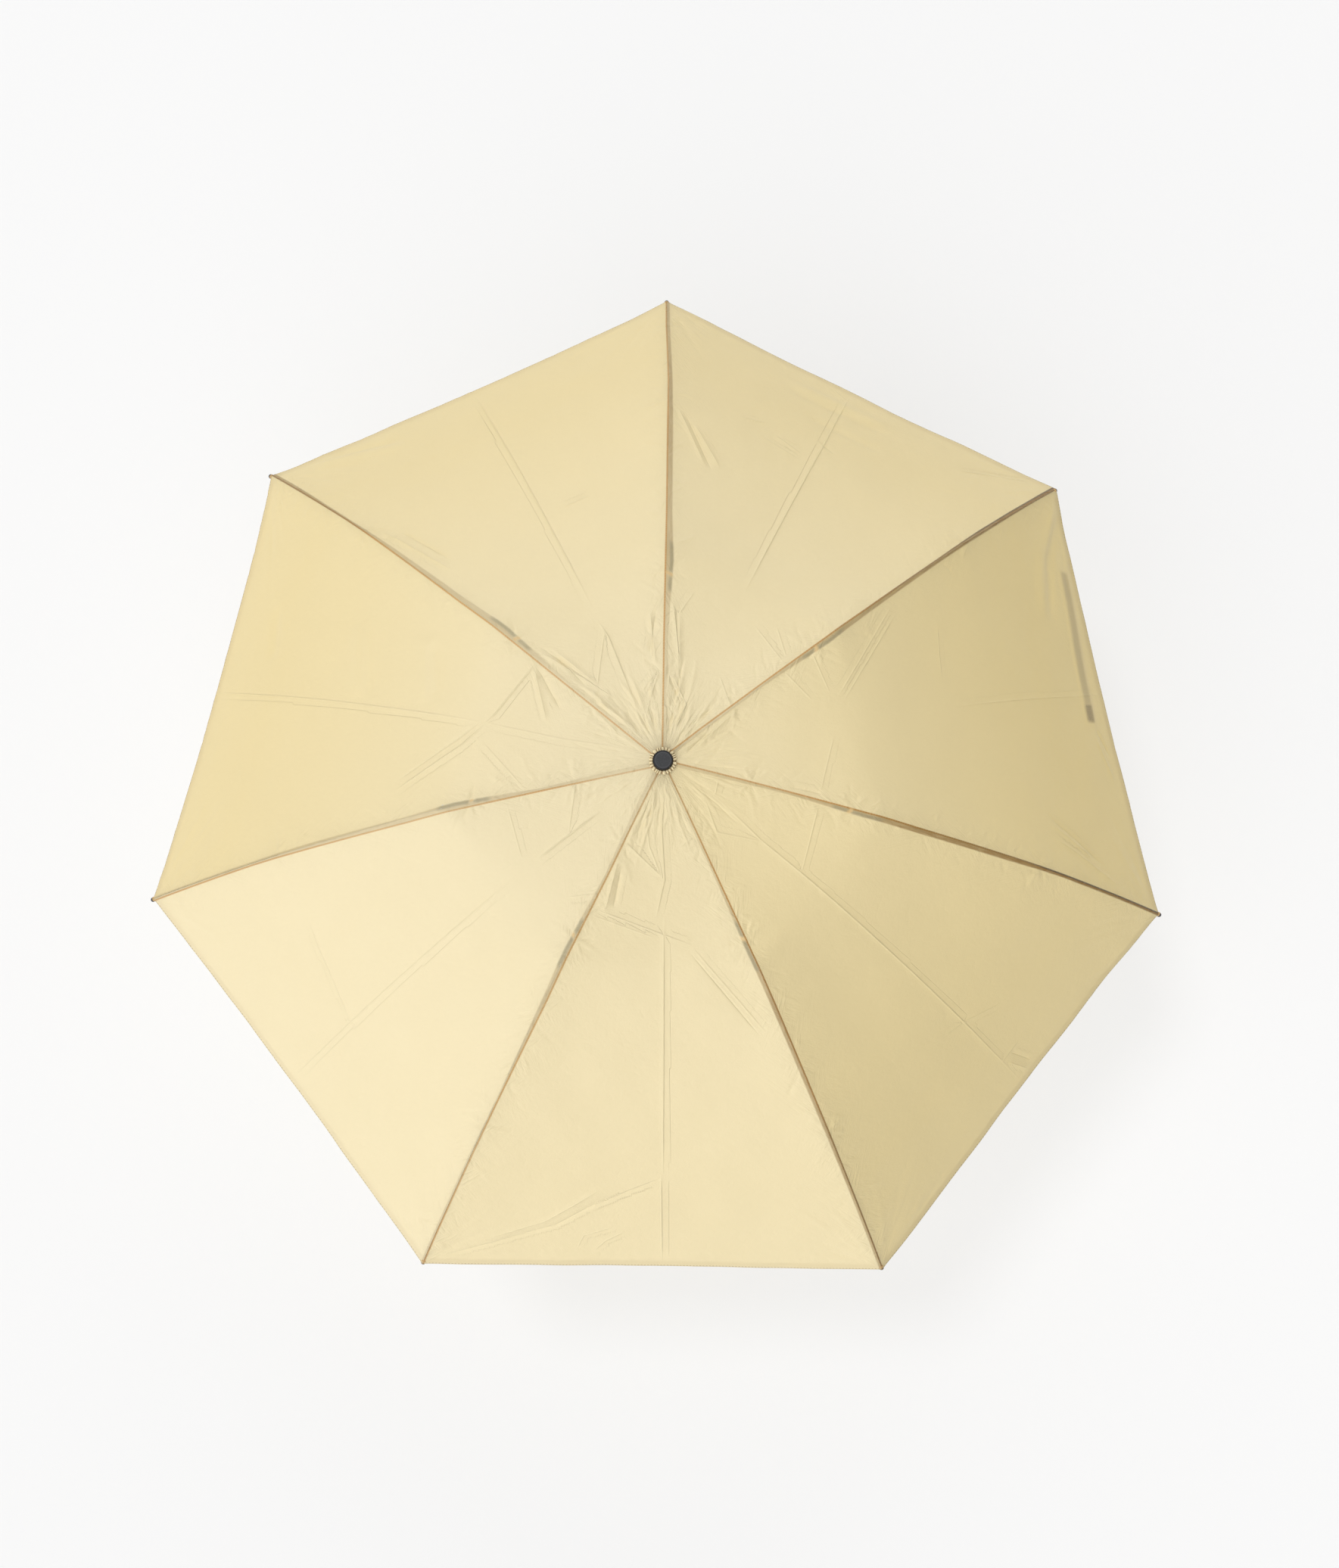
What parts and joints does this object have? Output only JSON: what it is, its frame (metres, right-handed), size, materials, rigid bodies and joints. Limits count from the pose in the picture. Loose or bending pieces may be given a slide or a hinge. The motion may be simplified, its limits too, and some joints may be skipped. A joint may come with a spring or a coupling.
{
  "type": "folding umbrella",
  "caption": "Compact telescoping umbrella, opened: cloth canopy on jointed three-section ribs, sliding runner, tube shaft and straight handle.",
  "frame": {"origin": "centre of the handle's flat bottom end, on the shaft's axis", "axes": "+Z along the shaft from handle to crown, canopy up and opened; +Y through the first rib; +X to the right of it, seen from above"},
  "size_m": [0.9594, 0.9353, 0.5547],
  "materials": {
    "fabric": "thin plain-woven cloth, cream, matt",
    "rib_metal": "satin drawn channel",
    "rod": "dark glass-fibre rod with a black tip",
    "spring_steel": "bright drawn wire and strip",
    "shaft": "black satin coated steel tube",
    "moulding": "black moulded nylon",
    "button": "grey moulded, semi-gloss",
    "cap": "dark grey disc, satin",
    "grip": "black soft-touch moulding",
    "grip_trim": "black semi-gloss moulding"
  },
  "bodies": {
    "handle": {"handle_grip": "grip", "handle_end_cap": "grip_trim", "lower_tube": "shaft", "lower_tube_snap": "spring_steel"},
    "middle_stage": {"middle_tube": "shaft", "middle_tube_snap": "spring_steel"},
    "upper_stage": {"upper_tube": "shaft", "crown": "moulding", "crown_wire": "spring_steel", "top_cap": "cap", "canopy_collar": "fabric", "canopy": "fabric", "tie_strap": "fabric"},
    "runner": {"runner": "moulding", "runner_wire": "spring_steel", "runner_catch": "spring_steel"},
    "button": {"runner_button": "button"},
    "top_rib_1": {"top_rib_1": "rib_metal"},
    "stretcher_1": {"stretcher_1": "rib_metal"},
    "middle_rib_1": {"middle_rib_1": "rib_metal"},
    "link_rib_1": {"link_rib_1": "rib_metal"},
    "control_wire_1": {"control_wire_1": "spring_steel"},
    "outer_rib_1": {"outer_rib_1": "rod"},
    "top_rib_2": {"top_rib_2": "rib_metal"},
    "stretcher_2": {"stretcher_2": "rib_metal"},
    "middle_rib_2": {"middle_rib_2": "rib_metal"},
    "link_rib_2": {"link_rib_2": "rib_metal"},
    "control_wire_2": {"control_wire_2": "spring_steel"},
    "outer_rib_2": {"outer_rib_2": "rod"},
    "top_rib_3": {"top_rib_3": "rib_metal"},
    "stretcher_3": {"stretcher_3": "rib_metal"},
    "middle_rib_3": {"middle_rib_3": "rib_metal"},
    "link_rib_3": {"link_rib_3": "rib_metal"},
    "control_wire_3": {"control_wire_3": "spring_steel"},
    "outer_rib_3": {"outer_rib_3": "rod"},
    "top_rib_4": {"top_rib_4": "rib_metal"},
    "stretcher_4": {"stretcher_4": "rib_metal"},
    "middle_rib_4": {"middle_rib_4": "rib_metal"},
    "link_rib_4": {"link_rib_4": "rib_metal"},
    "control_wire_4": {"control_wire_4": "spring_steel"},
    "outer_rib_4": {"outer_rib_4": "rod"},
    "top_rib_5": {"top_rib_5": "rib_metal"},
    "stretcher_5": {"stretcher_5": "rib_metal"},
    "middle_rib_5": {"middle_rib_5": "rib_metal"},
    "link_rib_5": {"link_rib_5": "rib_metal"},
    "control_wire_5": {"control_wire_5": "spring_steel"},
    "outer_rib_5": {"outer_rib_5": "rod"},
    "top_rib_6": {"top_rib_6": "rib_metal"},
    "stretcher_6": {"stretcher_6": "rib_metal"},
    "middle_rib_6": {"middle_rib_6": "rib_metal"},
    "link_rib_6": {"link_rib_6": "rib_metal"},
    "control_wire_6": {"control_wire_6": "spring_steel"},
    "outer_rib_6": {"outer_rib_6": "rod"},
    "top_rib_7": {"top_rib_7": "rib_metal"},
    "stretcher_7": {"stretcher_7": "rib_metal"},
    "middle_rib_7": {"middle_rib_7": "rib_metal"},
    "link_rib_7": {"link_rib_7": "rib_metal"},
    "control_wire_7": {"control_wire_7": "spring_steel"},
    "outer_rib_7": {"outer_rib_7": "rod"}
  },
  "joints": [
    {"name": "middle_tube_slide", "type": "slide", "parent": "handle", "child": "middle_stage", "axis": [0, 0, -1], "range_m": [0, 0.133], "deforming": ["lower_tube_snap"]},
    {"name": "upper_tube_slide", "type": "slide", "parent": "middle_stage", "child": "upper_stage", "axis": [0, 0, -1], "range_m": [0, 0.148], "deforming": ["middle_tube_snap"]},
    {"name": "runner_slide", "type": "slide", "parent": "upper_stage", "child": "runner", "axis": [0, 0, -1], "range_m": [0, 0.08353], "deforming": ["canopy", "tie_strap", "runner_catch"]},
    {"name": "button_press", "type": "slide", "parent": "runner", "child": "button", "axis": [0, 1, 0], "range_m": [0, 0.0008], "stiffness_N_per_m": 1500, "springref_m": -0.0005},
    {"name": "crown_pivot_1", "type": "hinge", "parent": "upper_stage", "child": "top_rib_1", "pos_m": [0, 0.011, 0.5452], "axis": [-1, 0, 0], "range_deg": [0, 87.61]},
    {"name": "stretcher_pivot_1", "type": "hinge", "parent": "top_rib_1", "child": "stretcher_1", "pos_m": [0, 0.07081, 0.53929], "axis": [1, 0, 0], "range_deg": [0, 139.28]},
    {"name": "first_fold_1", "type": "hinge", "parent": "top_rib_1", "child": "middle_rib_1", "pos_m": [0, 0.19192, 0.53952], "axis": [1, 0, 0], "range_deg": [0, 197.81]},
    {"name": "link_pivot_1", "type": "hinge", "parent": "stretcher_1", "child": "link_rib_1", "pos_m": [0, 0.05762, 0.52854], "axis": [-1, 0, 0], "range_deg": [0, 134.63]},
    {"name": "control_pivot_1", "type": "hinge", "parent": "top_rib_1", "child": "control_wire_1", "pos_m": [0, 0.17987, 0.53862], "axis": [1, 0, 0], "range_deg": [0, 196.59]},
    {"name": "second_fold_1", "type": "hinge", "parent": "middle_rib_1", "child": "outer_rib_1", "pos_m": [0, 0.34814, 0.45944], "axis": [-1, 0, 0], "range_deg": [0, 164.61]},
    {"name": "crown_pivot_2", "type": "hinge", "parent": "upper_stage", "child": "top_rib_2", "pos_m": [0.0086, 0.00686, 0.5452], "axis": [-0.6235, 0.7818, 0], "range_deg": [0, 87.61]},
    {"name": "stretcher_pivot_2", "type": "hinge", "parent": "top_rib_2", "child": "stretcher_2", "pos_m": [0.05536, 0.04415, 0.53929], "axis": [0.6235, -0.7818, 0], "range_deg": [0, 139.28]},
    {"name": "first_fold_2", "type": "hinge", "parent": "top_rib_2", "child": "middle_rib_2", "pos_m": [0.15005, 0.11966, 0.53952], "axis": [0.6235, -0.7818, 0], "range_deg": [0, 197.81]},
    {"name": "link_pivot_2", "type": "hinge", "parent": "stretcher_2", "child": "link_rib_2", "pos_m": [0.04505, 0.03593, 0.52854], "axis": [-0.6235, 0.7818, 0], "range_deg": [0, 134.63]},
    {"name": "control_pivot_2", "type": "hinge", "parent": "top_rib_2", "child": "control_wire_2", "pos_m": [0.14063, 0.11215, 0.53862], "axis": [0.6235, -0.7818, 0], "range_deg": [0, 196.59]},
    {"name": "second_fold_2", "type": "hinge", "parent": "middle_rib_2", "child": "outer_rib_2", "pos_m": [0.27219, 0.21706, 0.45944], "axis": [-0.6235, 0.7818, 0], "range_deg": [0, 164.61]},
    {"name": "crown_pivot_3", "type": "hinge", "parent": "upper_stage", "child": "top_rib_3", "pos_m": [0.01072, -0.00245, 0.5452], "axis": [0.2225, 0.9749, 0], "range_deg": [0, 87.61]},
    {"name": "stretcher_pivot_3", "type": "hinge", "parent": "top_rib_3", "child": "stretcher_3", "pos_m": [0.06903, -0.01576, 0.53929], "axis": [-0.2225, -0.9749, 0], "range_deg": [0, 139.28]},
    {"name": "first_fold_3", "type": "hinge", "parent": "top_rib_3", "child": "middle_rib_3", "pos_m": [0.18711, -0.04271, 0.53952], "axis": [-0.2225, -0.9749, 0], "range_deg": [0, 197.81]},
    {"name": "link_pivot_3", "type": "hinge", "parent": "stretcher_3", "child": "link_rib_3", "pos_m": [0.05618, -0.01282, 0.52854], "axis": [0.2225, 0.9749, 0], "range_deg": [0, 134.63]},
    {"name": "control_pivot_3", "type": "hinge", "parent": "top_rib_3", "child": "control_wire_3", "pos_m": [0.17536, -0.04002, 0.53862], "axis": [-0.2225, -0.9749, 0], "range_deg": [0, 196.59]},
    {"name": "second_fold_3", "type": "hinge", "parent": "middle_rib_3", "child": "outer_rib_3", "pos_m": [0.33941, -0.07747, 0.45944], "axis": [0.2225, 0.9749, 0], "range_deg": [0, 164.61]},
    {"name": "crown_pivot_4", "type": "hinge", "parent": "upper_stage", "child": "top_rib_4", "pos_m": [0.00477, -0.00991, 0.5452], "axis": [0.901, 0.4339, 0], "range_deg": [0, 87.61]},
    {"name": "stretcher_pivot_4", "type": "hinge", "parent": "top_rib_4", "child": "stretcher_4", "pos_m": [0.03072, -0.06379, 0.53929], "axis": [-0.901, -0.4339, 0], "range_deg": [0, 139.28]},
    {"name": "first_fold_4", "type": "hinge", "parent": "top_rib_4", "child": "middle_rib_4", "pos_m": [0.08327, -0.17292, 0.53952], "axis": [-0.901, -0.4339, 0], "range_deg": [0, 197.81]},
    {"name": "link_pivot_4", "type": "hinge", "parent": "stretcher_4", "child": "link_rib_4", "pos_m": [0.025, -0.05192, 0.52854], "axis": [0.901, 0.4339, 0], "range_deg": [0, 134.63]},
    {"name": "control_pivot_4", "type": "hinge", "parent": "top_rib_4", "child": "control_wire_4", "pos_m": [0.07804, -0.16206, 0.53862], "axis": [-0.901, -0.4339, 0], "range_deg": [0, 196.59]},
    {"name": "second_fold_4", "type": "hinge", "parent": "middle_rib_4", "child": "outer_rib_4", "pos_m": [0.15105, -0.31367, 0.45944], "axis": [0.901, 0.4339, 0], "range_deg": [0, 164.61]},
    {"name": "crown_pivot_5", "type": "hinge", "parent": "upper_stage", "child": "top_rib_5", "pos_m": [-0.00477, -0.00991, 0.5452], "axis": [0.901, -0.4339, 0], "range_deg": [0, 87.61]},
    {"name": "stretcher_pivot_5", "type": "hinge", "parent": "top_rib_5", "child": "stretcher_5", "pos_m": [-0.03072, -0.06379, 0.53929], "axis": [-0.901, 0.4339, 0], "range_deg": [0, 139.28]},
    {"name": "first_fold_5", "type": "hinge", "parent": "top_rib_5", "child": "middle_rib_5", "pos_m": [-0.08327, -0.17292, 0.53952], "axis": [-0.901, 0.4339, 0], "range_deg": [0, 197.81]},
    {"name": "link_pivot_5", "type": "hinge", "parent": "stretcher_5", "child": "link_rib_5", "pos_m": [-0.025, -0.05192, 0.52854], "axis": [0.901, -0.4339, 0], "range_deg": [0, 134.63]},
    {"name": "control_pivot_5", "type": "hinge", "parent": "top_rib_5", "child": "control_wire_5", "pos_m": [-0.07804, -0.16206, 0.53862], "axis": [-0.901, 0.4339, 0], "range_deg": [0, 196.59]},
    {"name": "second_fold_5", "type": "hinge", "parent": "middle_rib_5", "child": "outer_rib_5", "pos_m": [-0.15105, -0.31367, 0.45944], "axis": [0.901, -0.4339, 0], "range_deg": [0, 164.61]},
    {"name": "crown_pivot_6", "type": "hinge", "parent": "upper_stage", "child": "top_rib_6", "pos_m": [-0.01072, -0.00245, 0.5452], "axis": [0.2225, -0.9749, 0], "range_deg": [0, 87.61]},
    {"name": "stretcher_pivot_6", "type": "hinge", "parent": "top_rib_6", "child": "stretcher_6", "pos_m": [-0.06903, -0.01576, 0.53929], "axis": [-0.2225, 0.9749, 0], "range_deg": [0, 139.28]},
    {"name": "first_fold_6", "type": "hinge", "parent": "top_rib_6", "child": "middle_rib_6", "pos_m": [-0.18711, -0.04271, 0.53952], "axis": [-0.2225, 0.9749, 0], "range_deg": [0, 197.81]},
    {"name": "link_pivot_6", "type": "hinge", "parent": "stretcher_6", "child": "link_rib_6", "pos_m": [-0.05618, -0.01282, 0.52854], "axis": [0.2225, -0.9749, 0], "range_deg": [0, 134.63]},
    {"name": "control_pivot_6", "type": "hinge", "parent": "top_rib_6", "child": "control_wire_6", "pos_m": [-0.17536, -0.04002, 0.53862], "axis": [-0.2225, 0.9749, 0], "range_deg": [0, 196.59]},
    {"name": "second_fold_6", "type": "hinge", "parent": "middle_rib_6", "child": "outer_rib_6", "pos_m": [-0.33941, -0.07747, 0.45944], "axis": [0.2225, -0.9749, 0], "range_deg": [0, 164.61]},
    {"name": "crown_pivot_7", "type": "hinge", "parent": "upper_stage", "child": "top_rib_7", "pos_m": [-0.0086, 0.00686, 0.5452], "axis": [-0.6235, -0.7818, 0], "range_deg": [0, 87.61]},
    {"name": "stretcher_pivot_7", "type": "hinge", "parent": "top_rib_7", "child": "stretcher_7", "pos_m": [-0.05536, 0.04415, 0.53929], "axis": [0.6235, 0.7818, 0], "range_deg": [0, 139.28]},
    {"name": "first_fold_7", "type": "hinge", "parent": "top_rib_7", "child": "middle_rib_7", "pos_m": [-0.15005, 0.11966, 0.53952], "axis": [0.6235, 0.7818, 0], "range_deg": [0, 197.81]},
    {"name": "link_pivot_7", "type": "hinge", "parent": "stretcher_7", "child": "link_rib_7", "pos_m": [-0.04505, 0.03593, 0.52854], "axis": [-0.6235, -0.7818, 0], "range_deg": [0, 134.63]},
    {"name": "control_pivot_7", "type": "hinge", "parent": "top_rib_7", "child": "control_wire_7", "pos_m": [-0.14063, 0.11215, 0.53862], "axis": [0.6235, 0.7818, 0], "range_deg": [0, 196.59]},
    {"name": "second_fold_7", "type": "hinge", "parent": "middle_rib_7", "child": "outer_rib_7", "pos_m": [-0.27219, 0.21706, 0.45944], "axis": [-0.6235, -0.7818, 0], "range_deg": [0, 164.61]}
  ],
  "couplings": [
    {"joint": "crown_pivot_1", "follows": "runner_slide", "rad_per_m": 18.304},
    {"joint": "stretcher_pivot_1", "follows": "runner_slide", "rad_per_m": 29.1},
    {"joint": "first_fold_1", "follows": "runner_slide", "rad_per_m": 41.33},
    {"joint": "link_pivot_1", "follows": "runner_slide", "rad_per_m": 28.129},
    {"joint": "control_pivot_1", "follows": "runner_slide", "rad_per_m": 41.074},
    {"joint": "second_fold_1", "follows": "runner_slide", "rad_per_m": 34.393},
    {"joint": "crown_pivot_2", "follows": "runner_slide", "rad_per_m": 18.304},
    {"joint": "stretcher_pivot_2", "follows": "runner_slide", "rad_per_m": 29.1},
    {"joint": "first_fold_2", "follows": "runner_slide", "rad_per_m": 41.33},
    {"joint": "link_pivot_2", "follows": "runner_slide", "rad_per_m": 28.129},
    {"joint": "control_pivot_2", "follows": "runner_slide", "rad_per_m": 41.074},
    {"joint": "second_fold_2", "follows": "runner_slide", "rad_per_m": 34.393},
    {"joint": "crown_pivot_3", "follows": "runner_slide", "rad_per_m": 18.304},
    {"joint": "stretcher_pivot_3", "follows": "runner_slide", "rad_per_m": 29.1},
    {"joint": "first_fold_3", "follows": "runner_slide", "rad_per_m": 41.33},
    {"joint": "link_pivot_3", "follows": "runner_slide", "rad_per_m": 28.129},
    {"joint": "control_pivot_3", "follows": "runner_slide", "rad_per_m": 41.074},
    {"joint": "second_fold_3", "follows": "runner_slide", "rad_per_m": 34.393},
    {"joint": "crown_pivot_4", "follows": "runner_slide", "rad_per_m": 18.304},
    {"joint": "stretcher_pivot_4", "follows": "runner_slide", "rad_per_m": 29.1},
    {"joint": "first_fold_4", "follows": "runner_slide", "rad_per_m": 41.33},
    {"joint": "link_pivot_4", "follows": "runner_slide", "rad_per_m": 28.129},
    {"joint": "control_pivot_4", "follows": "runner_slide", "rad_per_m": 41.074},
    {"joint": "second_fold_4", "follows": "runner_slide", "rad_per_m": 34.393},
    {"joint": "crown_pivot_5", "follows": "runner_slide", "rad_per_m": 18.304},
    {"joint": "stretcher_pivot_5", "follows": "runner_slide", "rad_per_m": 29.1},
    {"joint": "first_fold_5", "follows": "runner_slide", "rad_per_m": 41.33},
    {"joint": "link_pivot_5", "follows": "runner_slide", "rad_per_m": 28.129},
    {"joint": "control_pivot_5", "follows": "runner_slide", "rad_per_m": 41.074},
    {"joint": "second_fold_5", "follows": "runner_slide", "rad_per_m": 34.393},
    {"joint": "crown_pivot_6", "follows": "runner_slide", "rad_per_m": 18.304},
    {"joint": "stretcher_pivot_6", "follows": "runner_slide", "rad_per_m": 29.1},
    {"joint": "first_fold_6", "follows": "runner_slide", "rad_per_m": 41.33},
    {"joint": "link_pivot_6", "follows": "runner_slide", "rad_per_m": 28.129},
    {"joint": "control_pivot_6", "follows": "runner_slide", "rad_per_m": 41.074},
    {"joint": "second_fold_6", "follows": "runner_slide", "rad_per_m": 34.393},
    {"joint": "crown_pivot_7", "follows": "runner_slide", "rad_per_m": 18.304},
    {"joint": "stretcher_pivot_7", "follows": "runner_slide", "rad_per_m": 29.1},
    {"joint": "first_fold_7", "follows": "runner_slide", "rad_per_m": 41.33},
    {"joint": "link_pivot_7", "follows": "runner_slide", "rad_per_m": 28.129},
    {"joint": "control_pivot_7", "follows": "runner_slide", "rad_per_m": 41.074},
    {"joint": "second_fold_7", "follows": "runner_slide", "rad_per_m": 34.393}
  ]
}
